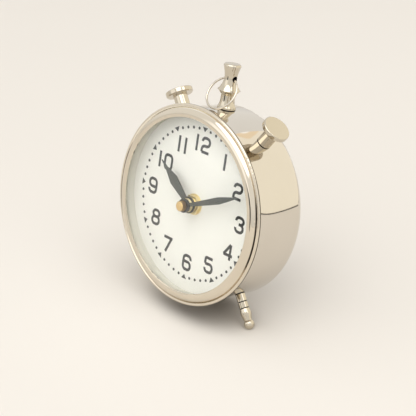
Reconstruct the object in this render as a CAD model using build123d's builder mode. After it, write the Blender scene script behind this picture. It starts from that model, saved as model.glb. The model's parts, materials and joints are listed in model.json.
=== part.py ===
from build123d import *
import os
from math import acos, cos, radians, sin, sqrt

# A round table clock that leans back on two front legs and a rear foot.
# Sizes are in millimetres. A height is measured forward from the front face of the dial, along the
# clock's axis, and a depth is measured backward from it. An angle on the case runs clockwise from the top.

# Stance
lean_angle = 11.0
foot_flat_depth = 0.3

# Fits, as gaps between faces
running_gap = 0.05
seat_gap = 0.05
slide_gap = 0.3

# Drum case
drum_radius = 50.8
drum_wall = 1.0
drum_depth = 28.5
drum_edge_round = 4.5
back_flange_width = 7.3

# Glass, dial and the rings that hold them
glass_thickness = 1.6
glass_rise = 6.8
glass_side_gap = 0.2
spacer_height = 5.3
spacer_wall = 1.25
dial_thickness = 0.8
seat_ring_width = 4.2
seat_ring_thickness = 1.0

# Bezel
bezel_rim_overhang = 2.1
bezel_skirt_wall = 0.8
bezel_skirt_length = 3.6
bezel_lip_overlap = 2.65
bezel_lip_thickness = 0.55
bezel_lip_gap = 0.2
bezel_seat_drop = 0.25
bezel_band_rise = 0.85
bezel_band_foot = 1.8
bezel_groove_width = 0.4
bezel_bead_radius = 0.9
bezel_rim_chamfer = 0.3

# Post, studs, legs and foot, which stand on the drum in one ring
fitting_depth = 12.4
post_flare_radius = 4.9
post_collar_height = 1.2
post_lower_neck_radius = 3.7
post_lower_neck_height = 7.4
post_bulge_radius = 6.0
post_bulge_height = 10.0
post_upper_neck_radius = 3.35
post_hole_height = 16.2
post_hole_radius = 1.6
post_head_radius = 4.6
post_height = 23.8
post_flare_sweep = (-1, 1.2)
post_bulge_sweep = (-1, 1)
post_head_sweep = (0.3, 1)
ring_wire_radius = 0.6
ring_radius = 9.1
stud_angle = 36.0
stud_height = 12.2
stud_stem_radius = 3.85
stud_head_radius = 7.4
stud_head_thickness = 2.9
stud_edge_round = 0.6
leg_angle = 144.0
leg_radius = 2.65
leg_groove_depth = 0.35
leg_groove_width = 0.5
leg_first_groove = 4.5
leg_second_groove = 8.0
leg_shoulder_radius = 2.9
leg_shoulder_height = 10.2
leg_ball_radius = 2.85
leg_ball_height = 16.5
leg_neck_radius = 2.15
leg_shoulder_sweep = (0.1, 1)
leg_neck_sweep = (-0.1, 1)
rear_foot_depth = 24.0
rear_foot_radius = 3.1
rear_foot_rivet_reach = 1.0

# Fasteners inside the drum and on the back
bolt_radius = 1.45
bolt_hole_radius = 1.6
bolt_end_reach = 4.0
case_nut_width = 5.5
case_nut_thickness = 2.2
back_cover_inset = 1.3
back_cover_thickness = 0.8
back_window_gap = 1.0
back_window_round = 6.0
screw_radius = 1.0
screw_length = 2.8
screw_head_radius = 1.9
screw_head_height = 1.3
screw_slot_width = 0.5
screw_slot_depth = 0.6
screw_count = 4
screw_start_angle = 0.0

# Hands and what is stacked on the dial
clock_minutes = 11.08
clock_hours = 10
washer_radius = 5.6
washer_thickness = 0.5
fixing_nut_width = 9.4
fixing_nut_thickness = 2.1
bush_radius = 3.95
bush_reach = 3.1
bush_flange_radius = 5.4
bush_flange_thickness = 0.6
hour_pipe_radius = 2.5
hour_pipe_reach = 4.9
hour_hub_radius = 4.3
hour_hub_height = 3.6
hour_hub_thickness = 1.0
hand_thickness = 0.5
hand_blade_step = 0.25
hour_hand_length = 29.8
hour_hand_half_width = 3.1
hour_hand_widest = 16.5
hour_hand_neck = 1.2
hour_hand_shoulder = 0.8
hour_hand_shoulder_at = 24.5
minute_pin_radius = 1.75
minute_hub_radius = 3.6
minute_hub_height = 6.5
minute_hub_thickness = 1.5
minute_hand_length = 39.8
minute_hand_half_width = 1.85
minute_hand_widest = 25.5
minute_hand_neck = 0.75
minute_hand_taper_half_width = 1.1
hand_tip_half_width = 0.15
hand_screw_radius = 1.4
hand_screw_length = 3.3
hand_nut_radius = 2.7
hand_nut_thickness = 2.7
hand_nut_round = 0.5
rubber_washer_radius = 10.0
rubber_washer_thickness = 1.0

# Quartz movement: a square box with the battery along its lower edge
movement_thickness = 15.5
movement_split = 4.0
movement_wall = 1.2
movement_edge_round = 2.0
battery_radius = 7.1
battery_side_gap = 0.4
battery_body_length = 49.0
battery_nub_radius = 2.7
battery_nub_length = 1.4
battery_edge_round = 0.5
contact_thickness = 0.4
contact_half_width = 5.0
contact_bump_radius = 2.0
contact_bump_height = 0.9
knob_radius = 6.0
knob_height = 4.0
knob_flutes = 24
knob_flute_radius = 0.45

# Wheel work
motion_module = 0.52
train_module = 0.28
cannon_teeth = 10
minute_wheel_teeth = 30
minute_pinion_teeth = 8
hour_wheel_teeth = 32
train_pinion_teeth = 8
centre_wheel_teeth = 64
third_wheel_teeth = 60
fourth_wheel_teeth = 50
intermediate_pinion_teeth = 10
intermediate_wheel_teeth = 48
minute_wheel_bearing = 180.0
third_bearing = 65.0
fourth_bearing = 0.0
intermediate_bearing = 80.0
rotor_bearing = 150.0
motion_wheel_thickness = 0.9
train_wheel_thickness = 0.7
layer_gap = 0.6
arbor_radius = 0.5
setting_arbor_radius = 0.75
centre_arbor_radius = 1.0
centre_hub_radius = 2.0
centre_wheel_floor_gap = 1.4
pivot_depth = 0.7
rotor_radius = 3.0
rotor_height = 2.4
stator_thickness = 0.8
stator_bar_width = 2.6
stator_air_gap = 0.5
stator_ring_width = 1.5
stator_wall_gap = 2.8
stator_top_gap = 0.5
stator_core_above_rotor = -1.4
coil_end_gap = 1.4
coil_length = 16.0
coil_radius = 2.4
board_wall_gap = 0.8
board_width = 12.0
board_floor_gap = 1.6
board_height = 23.0
board_thickness = 0.8
boss_radius = 1.1
board_boss_inset = 2.2
chip_half = 2.2
chip_height = 1.2
chip_chamfer = 0.4
crystal_radius = 1.0
crystal_length = 6.0
crystal_above_chip = 7.6

# Radii that follow from the drum
drum_inner = drum_radius - drum_wall
skirt_outer = drum_inner - seat_gap
skirt_inner = skirt_outer - bezel_skirt_wall
glass_radius = skirt_inner - glass_side_gap
spacer_outer = skirt_inner - glass_side_gap
bezel_opening = glass_radius - bezel_lip_overlap
bezel_rim_radius = drum_radius + bezel_rim_overhang
back_flat_radius = drum_radius - drum_edge_round
back_opening_radius = back_flat_radius - back_flange_width
back_cover_radius = back_flat_radius - back_cover_inset
screw_ring_radius = (back_opening_radius + back_cover_radius) / 2

# Heights that follow from the stack of dial, spacer and glass
glass_back_edge = spacer_height + seat_gap
glass_front_edge = glass_back_edge + glass_thickness
glass_apex = glass_front_edge + glass_rise
dome_radius = (glass_radius**2 + glass_rise**2) / (2 * glass_rise)
drum_front = glass_back_edge - bezel_seat_drop


def glass_front(radius):
    """Height of the glass's outer face at a distance from the clock's axis."""
    return glass_apex - dome_radius + sqrt(dome_radius**2 - radius**2)


bezel_lip_under = glass_front(bezel_opening) + bezel_lip_gap
bezel_lip_front = bezel_lip_under + bezel_lip_thickness
bezel_bead_centre = bezel_rim_radius - bezel_bead_radius
bezel_groove = bezel_bead_centre - bezel_bead_radius
bezel_band_outer = bezel_groove - bezel_groove_width
bezel_band_end = drum_front + bezel_band_foot
band_chord = sqrt((bezel_band_outer - bezel_opening) ** 2 + (bezel_lip_front - bezel_band_end) ** 2)
band_crest_radius = (
    (bezel_opening + bezel_band_outer) / 2 + bezel_band_rise * (bezel_lip_front - bezel_band_end) / band_chord
)
band_crest_height = (
    (bezel_lip_front + bezel_band_end) / 2 + bezel_band_rise * (bezel_band_outer - bezel_opening) / band_chord
)

# Sizes of the movement, which is built round its battery
battery_length = battery_body_length + battery_nub_length
battery_pocket_height = 2 * (battery_radius + battery_side_gap)
contact_reach = contact_thickness + contact_bump_height
inner_half = battery_length / 2 + slide_gap + contact_reach
movement_half = inner_half + movement_wall

# The clock's own directions, and the place of the dial's centre over the floor
tilt = radians(lean_angle)
forward = Vector(0, -cos(tilt), sin(tilt))
upward = Vector(0, sin(tilt), cos(tilt))
rightward = Vector(1, 0, 0)
leg_ball_reach = drum_radius + leg_ball_height
foot_drop = leg_ball_radius - foot_flat_depth
dial_height = -leg_ball_reach * cos(radians(leg_angle)) * cos(tilt) + fitting_depth * sin(tilt) + foot_drop
front_reach = band_crest_radius * sin(tilt) + band_crest_height * cos(tilt)
rear_reach = back_cover_radius * sin(tilt) + (drum_depth + back_cover_thickness) * cos(tilt)
dial_centre = Vector(0, (front_reach - rear_reach) / 2, dial_height)
dial_face = Plane(origin=dial_centre, x_dir=rightward, z_dir=forward)
clock_axis = Axis(dial_centre, forward)
turning_section = Plane(origin=dial_centre, x_dir=rightward, z_dir=-upward)


def at_depth(depth):
    """Plane parallel to the dial, at a depth behind its front face."""
    return dial_face.offset(-depth)


def outward(angle):
    """Direction out of the drum at an angle on the case."""
    return rightward * sin(radians(angle)) + upward * cos(radians(angle))


def fitting_face(angle, depth, distance):
    """Plane that faces out of the drum, at a distance from the clock's axis."""
    direction = outward(angle)
    return Plane(
        origin=dial_centre - forward * depth + direction * distance,
        x_dir=forward,
        z_dir=direction,
    )


def fitting_section(angle, depth):
    """Plane for the profile of a turned fitting, whose local Y leaves the drum's surface."""
    face = fitting_face(angle, depth, drum_radius)
    return Plane(origin=face.origin, x_dir=forward, z_dir=forward.cross(outward(angle)))


def fitting_axis(angle, depth):
    return Axis(fitting_section(angle, depth).origin, outward(angle))


def save(piece, name):
    piece.part.label = name
    export_step(piece.part, f"parts/{name}.step")


os.makedirs("parts", exist_ok=True)

# Places of the fittings on the drum: angle on the case and depth
post_place = (0.0, fitting_depth)
stud_places = {"left_stud": (-stud_angle, fitting_depth), "right_stud": (stud_angle, fitting_depth)}
leg_places = {"left_front_leg": (-leg_angle, fitting_depth), "right_front_leg": (leg_angle, fitting_depth)}
rear_foot_place = (180.0, rear_foot_depth)
bolted_places = [post_place, *stud_places.values(), *leg_places.values()]
fitting_places = [*bolted_places, rear_foot_place]
saddle_radius = drum_radius + seat_gap
saddle_sink = drum_radius - sqrt(drum_radius**2 - stud_stem_radius**2) + post_collar_height
saddle_cut_half = stud_head_radius
bolt_length = bolt_end_reach + 2 * drum_wall
straight_out = (0, 1)
straight_in = (-1, 0)


# Drum case: a spun cup with a round opening in its back
with BuildPart() as case_drum:
    round_start = drum_depth - drum_edge_round
    inner_round = drum_edge_round - drum_wall
    with BuildSketch(turning_section):
        with BuildLine():
            Polyline(
                (drum_radius, -round_start),
                (drum_radius, drum_front),
                (drum_inner, drum_front),
                (drum_inner, -round_start),
            )
            CenterArc((back_flat_radius, -round_start), inner_round, 0, -90)
            Polyline(
                (back_flat_radius, drum_wall - drum_depth),
                (back_opening_radius, drum_wall - drum_depth),
                (back_opening_radius, -drum_depth),
                (back_flat_radius, -drum_depth),
            )
            CenterArc((back_flat_radius, -round_start), drum_edge_round, -90, 90)
        make_face()
    revolve(axis=clock_axis)
    for fitting_angle, depth in fitting_places:
        with BuildSketch(fitting_face(fitting_angle, depth, 0)):
            Circle(bolt_hole_radius)
        extrude(amount=drum_radius + drum_wall, mode=Mode.SUBTRACT)
    with BuildSketch(at_depth(drum_depth)):
        with PolarLocations(screw_ring_radius, screw_count, screw_start_angle):
            Circle(screw_radius + running_gap)
    extrude(amount=drum_wall, mode=Mode.SUBTRACT)
save(case_drum, "case_drum")

# Bezel: lip over the glass, broad round band, groove, rim bead, and a skirt inside the drum
with BuildPart() as bezel:
    bead_height = drum_front + bezel_bead_radius
    with BuildSketch(turning_section):
        with BuildLine():
            Line((bezel_opening, bezel_lip_under), (bezel_opening, bezel_lip_front))
            ThreePointArc(
                (bezel_opening, bezel_lip_front),
                (band_crest_radius, band_crest_height),
                (bezel_band_outer, bezel_band_end),
            )
            Line((bezel_band_outer, bezel_band_end), (bezel_groove, bead_height))
            CenterArc((bezel_bead_centre, bead_height), bezel_bead_radius, 180, -180)
            Polyline(
                (bezel_rim_radius, bead_height),
                (bezel_rim_radius, drum_front + bezel_rim_chamfer),
                (bezel_rim_radius - bezel_rim_chamfer, drum_front),
                (skirt_outer, drum_front),
                (skirt_outer, drum_front - bezel_skirt_length),
                (skirt_inner, drum_front - bezel_skirt_length),
                (skirt_inner, glass_front(skirt_inner) + bezel_lip_gap),
                (bezel_opening, bezel_lip_under),
            )
        make_face()
    revolve(axis=clock_axis)
save(bezel, "bezel")

# Domed glass: both faces have the same radius, one thickness apart
with BuildPart() as glass:
    half_edge = glass_radius / 2
    with BuildSketch(turning_section):
        with BuildLine():
            Line((0, glass_apex - glass_thickness), (0, glass_apex))
            ThreePointArc(
                (0, glass_apex),
                (half_edge, glass_front(half_edge)),
                (glass_radius, glass_front_edge),
            )
            Line((glass_radius, glass_front_edge), (glass_radius, glass_back_edge))
            ThreePointArc(
                (glass_radius, glass_back_edge),
                (half_edge, glass_front(half_edge) - glass_thickness),
                (0, glass_apex - glass_thickness),
            )
        make_face()
    revolve(axis=clock_axis)
save(glass, "glass")

# Spacer ring between the dial and the glass
with BuildPart() as spacer_ring:
    with BuildSketch(dial_face):
        Circle(spacer_outer)
        Circle(spacer_outer - spacer_wall, mode=Mode.SUBTRACT)
    extrude(amount=spacer_height)
save(spacer_ring, "spacer_ring")

# Dial plate with the hole for the movement's bush
with BuildPart() as dial_plate:
    with BuildSketch(at_depth(dial_thickness)):
        Circle(drum_inner - slide_gap)
        Circle(bush_radius + slide_gap, mode=Mode.SUBTRACT)
    extrude(amount=dial_thickness)
save(dial_plate, "dial_plate")

# Seat ring in the drum, behind the dial
with BuildPart() as dial_seat_ring:
    with BuildSketch(at_depth(dial_thickness + seat_ring_thickness)):
        Circle(drum_inner - seat_gap)
        Circle(drum_inner - seat_ring_width, mode=Mode.SUBTRACT)
    extrude(amount=seat_ring_thickness)
save(dial_seat_ring, "dial_seat_ring")

# Screws of the back cover, with slotted heads
with BuildPart() as back_screws:
    screw_seat = drum_depth + back_cover_thickness
    with BuildSketch(at_depth(screw_seat)):
        with PolarLocations(screw_ring_radius, screw_count, screw_start_angle):
            Circle(screw_radius)
    extrude(amount=screw_length)
    with BuildSketch(at_depth(screw_seat + screw_head_height)):
        with PolarLocations(screw_ring_radius, screw_count, screw_start_angle):
            Circle(screw_head_radius)
    extrude(amount=screw_head_height)
    with BuildSketch(at_depth(screw_seat + screw_head_height)):
        with PolarLocations(screw_ring_radius, screw_count, screw_start_angle):
            Rectangle(2 * screw_head_radius, screw_slot_width)
    extrude(amount=screw_slot_depth, mode=Mode.SUBTRACT)
save(back_screws, "back_screws")

# Top post: flared foot, waist, pointed bulge, slim neck with a cross hole, and head
with BuildPart() as top_post:
    with BuildSketch(fitting_section(*post_place)):
        with BuildLine():
            Polyline(
                (0, -saddle_sink),
                (post_flare_radius, -saddle_sink),
                (post_flare_radius, post_collar_height),
            )
            Spline(
                (post_flare_radius, post_collar_height),
                (post_lower_neck_radius, post_lower_neck_height),
                tangents=(post_flare_sweep, straight_out),
            )
            Line(
                (post_lower_neck_radius, post_lower_neck_height),
                (post_bulge_radius, post_bulge_height),
            )
            Spline(
                (post_bulge_radius, post_bulge_height),
                (post_upper_neck_radius, post_hole_height),
                (post_head_radius, post_height - post_collar_height),
                tangents=(post_bulge_sweep, post_head_sweep),
            )
            Spline(
                (post_head_radius, post_height - post_collar_height),
                (0, post_height),
                tangents=(straight_out, straight_in),
            )
            Line((0, post_height), (0, -saddle_sink))
        make_face()
    revolve(axis=fitting_axis(*post_place))
    with BuildSketch(at_depth(fitting_depth + saddle_cut_half)):
        Circle(saddle_radius)
    extrude(amount=2 * saddle_cut_half, mode=Mode.SUBTRACT)
    with BuildSketch(fitting_face(*post_place, drum_inner - bolt_end_reach)):
        Circle(bolt_radius)
    extrude(amount=bolt_length)
    hole_centre = fitting_face(*post_place, drum_radius + post_hole_height).origin
    with BuildSketch(Plane(origin=hole_centre, x_dir=forward, z_dir=rightward)):
        Circle(post_hole_radius)
    extrude(amount=post_bulge_radius, both=True, mode=Mode.SUBTRACT)
save(top_post, "top_post")

# Carry ring: a wire circle through the post's hole that hangs forward until it meets the drum
ring_drop = post_hole_height - ring_wire_radius - slide_gap
ring_hang = acos(ring_drop / (2 * ring_radius))
ring_direction = forward * sin(ring_hang) - upward * cos(ring_hang)
ring_centre = hole_centre + ring_direction * ring_radius
with BuildPart() as carry_ring:
    with BuildLine(Plane(origin=ring_centre, x_dir=rightward, z_dir=rightward.cross(ring_direction))):
        ring_path = CenterArc((0, 0), ring_radius, 90, 360)
    with BuildSketch(Plane(origin=ring_path @ 0, z_dir=ring_path % 0)):
        Circle(ring_wire_radius)
    sweep()
save(carry_ring, "carry_ring")

# Studs: a round head on a stem, seated on the drum
for stud_name, stud_place in stud_places.items():
    with BuildPart() as stud:
        head_under = stud_height - stud_head_thickness
        round_radius = stud_head_radius - stud_edge_round
        round_height = stud_height - stud_edge_round
        with BuildSketch(fitting_section(*stud_place)):
            with BuildLine():
                Polyline(
                    (0, -saddle_sink),
                    (stud_stem_radius, -saddle_sink),
                    (stud_stem_radius, head_under),
                    (round_radius, head_under),
                    (stud_head_radius, head_under + stud_edge_round),
                    (stud_head_radius, round_height),
                )
                CenterArc((round_radius, round_height), stud_edge_round, 0, 90)
                Polyline((round_radius, stud_height), (0, stud_height), (0, -saddle_sink))
            make_face()
        revolve(axis=fitting_axis(*stud_place))
        with BuildSketch(at_depth(fitting_depth + saddle_cut_half)):
            Circle(saddle_radius)
        extrude(amount=2 * saddle_cut_half, mode=Mode.SUBTRACT)
        with BuildSketch(fitting_face(*stud_place, drum_inner - bolt_end_reach)):
            Circle(bolt_radius)
        extrude(amount=bolt_length)
    save(stud, stud_name)


def leg_stem_points():
    """Side of a front leg from its seat to its shoulder, with the two turned grooves."""
    points = [(0, -saddle_sink), (leg_radius, -saddle_sink)]
    for groove in (leg_first_groove, leg_second_groove):
        for offset, depth in ((-1, 0), (-1, 1), (1, 1), (1, 0)):
            points.append((leg_radius - depth * leg_groove_depth, groove + offset * leg_groove_width / 2))
    return points + [(leg_shoulder_radius, leg_shoulder_height)]


# Front legs: grooved stem, tapered neck and a ball, cut flat where it stands
for leg_name, leg_place in leg_places.items():
    with BuildPart() as leg:
        neck_height = leg_ball_height - sqrt(leg_ball_radius**2 - leg_neck_radius**2)
        ball_end = leg_ball_height + leg_ball_radius
        with BuildSketch(fitting_section(*leg_place)):
            with BuildLine():
                Polyline(*leg_stem_points())
                Spline(
                    (leg_shoulder_radius, leg_shoulder_height),
                    (leg_neck_radius, neck_height),
                    tangents=(leg_shoulder_sweep, leg_neck_sweep),
                )
                ThreePointArc(
                    (leg_neck_radius, neck_height), (leg_ball_radius, leg_ball_height), (0, ball_end)
                )
                Line((0, ball_end), (0, -saddle_sink))
            make_face()
        revolve(axis=fitting_axis(*leg_place))
        with BuildSketch(at_depth(fitting_depth + saddle_cut_half)):
            Circle(saddle_radius)
        extrude(amount=2 * saddle_cut_half, mode=Mode.SUBTRACT)
        with BuildSketch(fitting_face(*leg_place, drum_inner - bolt_end_reach)):
            Circle(bolt_radius)
        extrude(amount=bolt_length)
        split(bisect_by=Plane.XY, keep=Keep.TOP)
    save(leg, leg_name)

# Rear foot: a short round stub, riveted through the drum, whose end stands on the same floor
with BuildPart() as rear_foot:
    foot_reach = (dial_height - rear_foot_depth * sin(tilt) - foot_drop) / cos(tilt) - drum_radius
    foot_side = foot_reach + leg_ball_radius - rear_foot_radius
    with BuildSketch(fitting_section(*rear_foot_place)):
        with BuildLine():
            Polyline((0, -saddle_sink), (rear_foot_radius, -saddle_sink), (rear_foot_radius, foot_side))
            CenterArc((0, foot_side), rear_foot_radius, 0, 90)
            Line((0, foot_side + rear_foot_radius), (0, -saddle_sink))
        make_face()
    revolve(axis=fitting_axis(*rear_foot_place))
    with BuildSketch(at_depth(rear_foot_depth + saddle_cut_half)):
        Circle(saddle_radius)
    extrude(amount=2 * saddle_cut_half, mode=Mode.SUBTRACT)
    with BuildSketch(fitting_face(*rear_foot_place, drum_inner - rear_foot_rivet_reach)):
        Circle(bolt_radius)
    extrude(amount=rear_foot_rivet_reach + 2 * drum_wall)
    split(bisect_by=Plane.XY, keep=Keep.TOP)
save(rear_foot, "rear_foot")

# Hexagon nuts inside the drum, one on the bolt end of the post and of each stud and leg
nut_seat = sqrt(drum_inner**2 - (case_nut_width / sqrt(3)) ** 2) - seat_gap
with BuildPart() as case_nuts:
    for fitting_angle, depth in bolted_places:
        with BuildSketch(fitting_face(fitting_angle, depth, nut_seat - case_nut_thickness)):
            RegularPolygon(case_nut_width / 2, 6, major_radius=False)
            Circle(bolt_radius + seat_gap, mode=Mode.SUBTRACT)
        extrude(amount=case_nut_thickness)
save(case_nuts, "case_nuts")


# Depths in the movement, which hangs behind the dial on its bush
movement_front = dial_thickness + rubber_washer_thickness
movement_back = movement_front + movement_thickness
movement_seam = movement_front + movement_split
floor_depth = movement_front + movement_wall
roof_depth = movement_back - movement_wall
arbor_start = floor_depth - pivot_depth + running_gap
arbor_end = roof_depth + pivot_depth - running_gap
hour_layer = floor_depth + slide_gap
minute_layer = hour_layer + motion_wheel_thickness + layer_gap
centre_layer = minute_layer + motion_wheel_thickness + 2 * layer_gap
third_layer = centre_layer + train_wheel_thickness + layer_gap
fourth_layer = third_layer + train_wheel_thickness + layer_gap
intermediate_layer = fourth_layer + train_wheel_thickness + layer_gap
rotor_layer = intermediate_layer + train_wheel_thickness + layer_gap
hour_pipe_bore = minute_pin_radius + running_gap
bush_bore = hour_pipe_radius + running_gap

# Teeth are a little narrow and straight-sided, as on moulded wheels, so that they run free
tooth_tip_share = 0.085
tooth_pitch_share = 0.2
tooth_root_share = 0.23
tooth_addendum = 0.85
tooth_dedendum = 1.25


def tip_radius(teeth, module):
    return module * (teeth / 2 + tooth_addendum)


def gear_points(teeth, module, start, centre):
    """Outline of a toothed wheel whose first tooth points at the start angle."""
    pitch_radius = module * teeth / 2
    root = pitch_radius - tooth_dedendum * module
    tip = tip_radius(teeth, module)
    side = ((root, tooth_root_share), (pitch_radius, tooth_pitch_share), (tip, tooth_tip_share))
    flanks = [(radius, -share) for radius, share in side] + list(reversed(side))
    points = []
    for tooth in range(teeth):
        for radius, share in flanks:
            turn = radians(start + (tooth + share) * 360 / teeth)
            points.append((centre[0] + radius * cos(turn), centre[1] + radius * sin(turn)))
    return points


def meshed_start(driver_teeth, driver_start, teeth, bearing):
    """Start angle that puts a gap of the driven wheel on the driver's tooth, along their line of centres."""
    return bearing + 180 - 360 / teeth * (0.5 - (bearing - driver_start) * driver_teeth / 360)


def beyond(centre, bearing, distance):
    turn = radians(bearing)
    return (centre[0] + distance * cos(turn), centre[1] + distance * sin(turn))


# Places of the arbors, seen from the front
clock_centre = (0.0, 0.0)
motion_distance = motion_module * (cannon_teeth + minute_wheel_teeth) / 2
minute_wheel_centre = beyond(clock_centre, minute_wheel_bearing, motion_distance)
third_centre = beyond(
    clock_centre, third_bearing, train_module * (centre_wheel_teeth + train_pinion_teeth) / 2
)
fourth_centre = beyond(
    third_centre, fourth_bearing, train_module * (third_wheel_teeth + train_pinion_teeth) / 2
)
intermediate_centre = beyond(
    fourth_centre, intermediate_bearing, train_module * (fourth_wheel_teeth + intermediate_pinion_teeth) / 2
)
rotor_centre = beyond(
    intermediate_centre, rotor_bearing, train_module * (intermediate_wheel_teeth + train_pinion_teeth) / 2
)
train_centres = [third_centre, fourth_centre, intermediate_centre, rotor_centre]

# Rooms in the movement: the wheels and the motor above, the battery below
stator_ring_outer = rotor_radius + stator_air_gap + stator_ring_width
stator_top = rotor_centre[1] + stator_ring_outer
wheel_room_top = stator_top + stator_top_gap
wheel_room_bottom = -tip_radius(centre_wheel_teeth, train_module) - centre_wheel_floor_gap
wheel_room_middle = (0, (wheel_room_bottom + wheel_room_top) / 2)
wheel_room_height = wheel_room_top - wheel_room_bottom
pocket_top = wheel_room_bottom - movement_wall
pocket_bottom = pocket_top - battery_pocket_height
pocket_middle = (0, (pocket_bottom + pocket_top) / 2)
box_middle = (0, (pocket_bottom + wheel_room_top) / 2)
box_height = wheel_room_top - pocket_bottom + 2 * movement_wall
stator_left = stator_wall_gap - inner_half
coil_left = stator_left + stator_bar_width + coil_end_gap
board_left = board_wall_gap - inner_half
board_bottom = wheel_room_bottom + board_floor_gap

# Start angles that put every pair in mesh at rest
minute_wheel_start = meshed_start(cannon_teeth, 0, minute_wheel_teeth, minute_wheel_bearing)
hour_wheel_start = meshed_start(
    minute_pinion_teeth, minute_wheel_start, hour_wheel_teeth, minute_wheel_bearing + 180
)
third_start = meshed_start(centre_wheel_teeth, 0, train_pinion_teeth, third_bearing)
fourth_start = meshed_start(third_wheel_teeth, third_start, train_pinion_teeth, fourth_bearing)
intermediate_start = meshed_start(
    fourth_wheel_teeth, fourth_start, intermediate_pinion_teeth, intermediate_bearing
)
rotor_start = meshed_start(intermediate_wheel_teeth, intermediate_start, train_pinion_teeth, rotor_bearing)


# Movement base: the half that lies against the dial, with the battery pocket's floor
with BuildPart() as movement_base:
    with BuildSketch(at_depth(movement_seam)):
        with Locations(box_middle):
            RectangleRounded(2 * movement_half, box_height, movement_edge_round)
    extrude(amount=movement_split)
    with BuildSketch(at_depth(movement_seam)):
        with Locations(wheel_room_middle):
            Rectangle(2 * inner_half, wheel_room_height)
        with Locations(pocket_middle):
            Rectangle(2 * inner_half, battery_pocket_height)
    extrude(amount=movement_split - movement_wall, mode=Mode.SUBTRACT)
    with BuildSketch(at_depth(floor_depth)):
        with Locations(*train_centres):
            Circle(arbor_radius + running_gap)
        with Locations(minute_wheel_centre):
            Circle(setting_arbor_radius + running_gap)
    extrude(amount=pivot_depth, mode=Mode.SUBTRACT)
    with BuildSketch(at_depth(floor_depth)):
        Circle(bush_radius + seat_gap)
    extrude(amount=movement_wall, mode=Mode.SUBTRACT)
save(movement_base, "movement_base")

# Depth of the stator, halfway along the rotor's magnet, and of the board, which stand on bosses
stator_front = rotor_layer + (rotor_height - stator_thickness) / 2
stator_back = stator_front + stator_thickness
board_back = roof_depth - layer_gap - stator_thickness
core_middle = rotor_centre[1] + stator_core_above_rotor
stator_bosses = [
    (stator_left + stator_bar_width / 2, stator_top - stator_bar_width / 2),
    (coil_left + coil_length, stator_top - stator_bar_width / 2),
]
board_bosses = [
    (board_left + board_boss_inset, board_bottom + board_boss_inset),
    (board_left + board_boss_inset, board_bottom + board_height - board_boss_inset),
]

# Movement cover: the half that faces the back, open over the battery
with BuildPart() as movement_cover:
    with BuildSketch(at_depth(movement_back)):
        with Locations(box_middle):
            RectangleRounded(2 * movement_half, box_height, movement_edge_round)
        with Locations(pocket_middle):
            Rectangle(2 * inner_half, battery_pocket_height, mode=Mode.SUBTRACT)
    extrude(amount=movement_thickness - movement_split)
    with BuildSketch(at_depth(roof_depth)):
        with Locations(wheel_room_middle):
            Rectangle(2 * inner_half, wheel_room_height)
    extrude(amount=roof_depth - movement_seam, mode=Mode.SUBTRACT)
    with BuildSketch(at_depth(roof_depth)):
        with Locations(*stator_bosses):
            Circle(boss_radius)
    extrude(amount=roof_depth - stator_back)
    with BuildSketch(at_depth(roof_depth)):
        with Locations(*board_bosses):
            Circle(boss_radius)
    extrude(amount=roof_depth - board_back)
    with BuildSketch(at_depth(roof_depth + pivot_depth)):
        with Locations(*train_centres):
            Circle(arbor_radius + running_gap)
        Circle(centre_arbor_radius + running_gap)
    extrude(amount=pivot_depth, mode=Mode.SUBTRACT)
    with BuildSketch(at_depth(movement_back)):
        with Locations(minute_wheel_centre):
            Circle(setting_arbor_radius + running_gap)
    extrude(amount=movement_wall, mode=Mode.SUBTRACT)
save(movement_cover, "movement_cover")

# Back cover with a window for the battery and the setting knob
with BuildPart() as back_cover:
    window_width = 2 * (movement_half + back_window_gap)
    window_height = box_height + 2 * back_window_gap
    with BuildSketch(at_depth(drum_depth + back_cover_thickness)):
        Circle(back_cover_radius)
        with Locations(box_middle):
            RectangleRounded(window_width, window_height, back_window_round, mode=Mode.SUBTRACT)
        with PolarLocations(screw_ring_radius, screw_count, screw_start_angle):
            Circle(screw_radius + seat_gap, mode=Mode.SUBTRACT)
    extrude(amount=back_cover_thickness)
save(back_cover, "back_cover")

# Rubber washer between the movement and the dial
with BuildPart() as rubber_washer:
    with BuildSketch(at_depth(movement_front)):
        Circle(rubber_washer_radius)
        Circle(bush_flange_radius + slide_gap, mode=Mode.SUBTRACT)
    extrude(amount=rubber_washer_thickness)
save(rubber_washer, "rubber_washer")

# Threaded bush that carries the movement on the dial
with BuildPart() as threaded_bush:
    with BuildSketch(at_depth(floor_depth)):
        Circle(bush_radius)
    extrude(amount=floor_depth + bush_reach)
    with BuildSketch(at_depth(movement_front)):
        Circle(bush_flange_radius)
    extrude(amount=bush_flange_thickness)
    with BuildSketch(at_depth(floor_depth)):
        Circle(bush_bore)
    extrude(amount=floor_depth + bush_reach, mode=Mode.SUBTRACT)
save(threaded_bush, "threaded_bush")

# Brass washer and hexagon nut on the dial
with BuildPart() as dial_washer:
    with BuildSketch(dial_face):
        Circle(washer_radius)
        Circle(bush_radius + seat_gap, mode=Mode.SUBTRACT)
    extrude(amount=washer_thickness)
save(dial_washer, "dial_washer")

with BuildPart() as dial_fixing_nut:
    with BuildSketch(dial_face.offset(washer_thickness)):
        RegularPolygon(fixing_nut_width / 2, 6, major_radius=False)
        Circle(bush_radius + seat_gap, mode=Mode.SUBTRACT)
    extrude(amount=fixing_nut_thickness)
save(dial_fixing_nut, "dial_fixing_nut")

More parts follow.
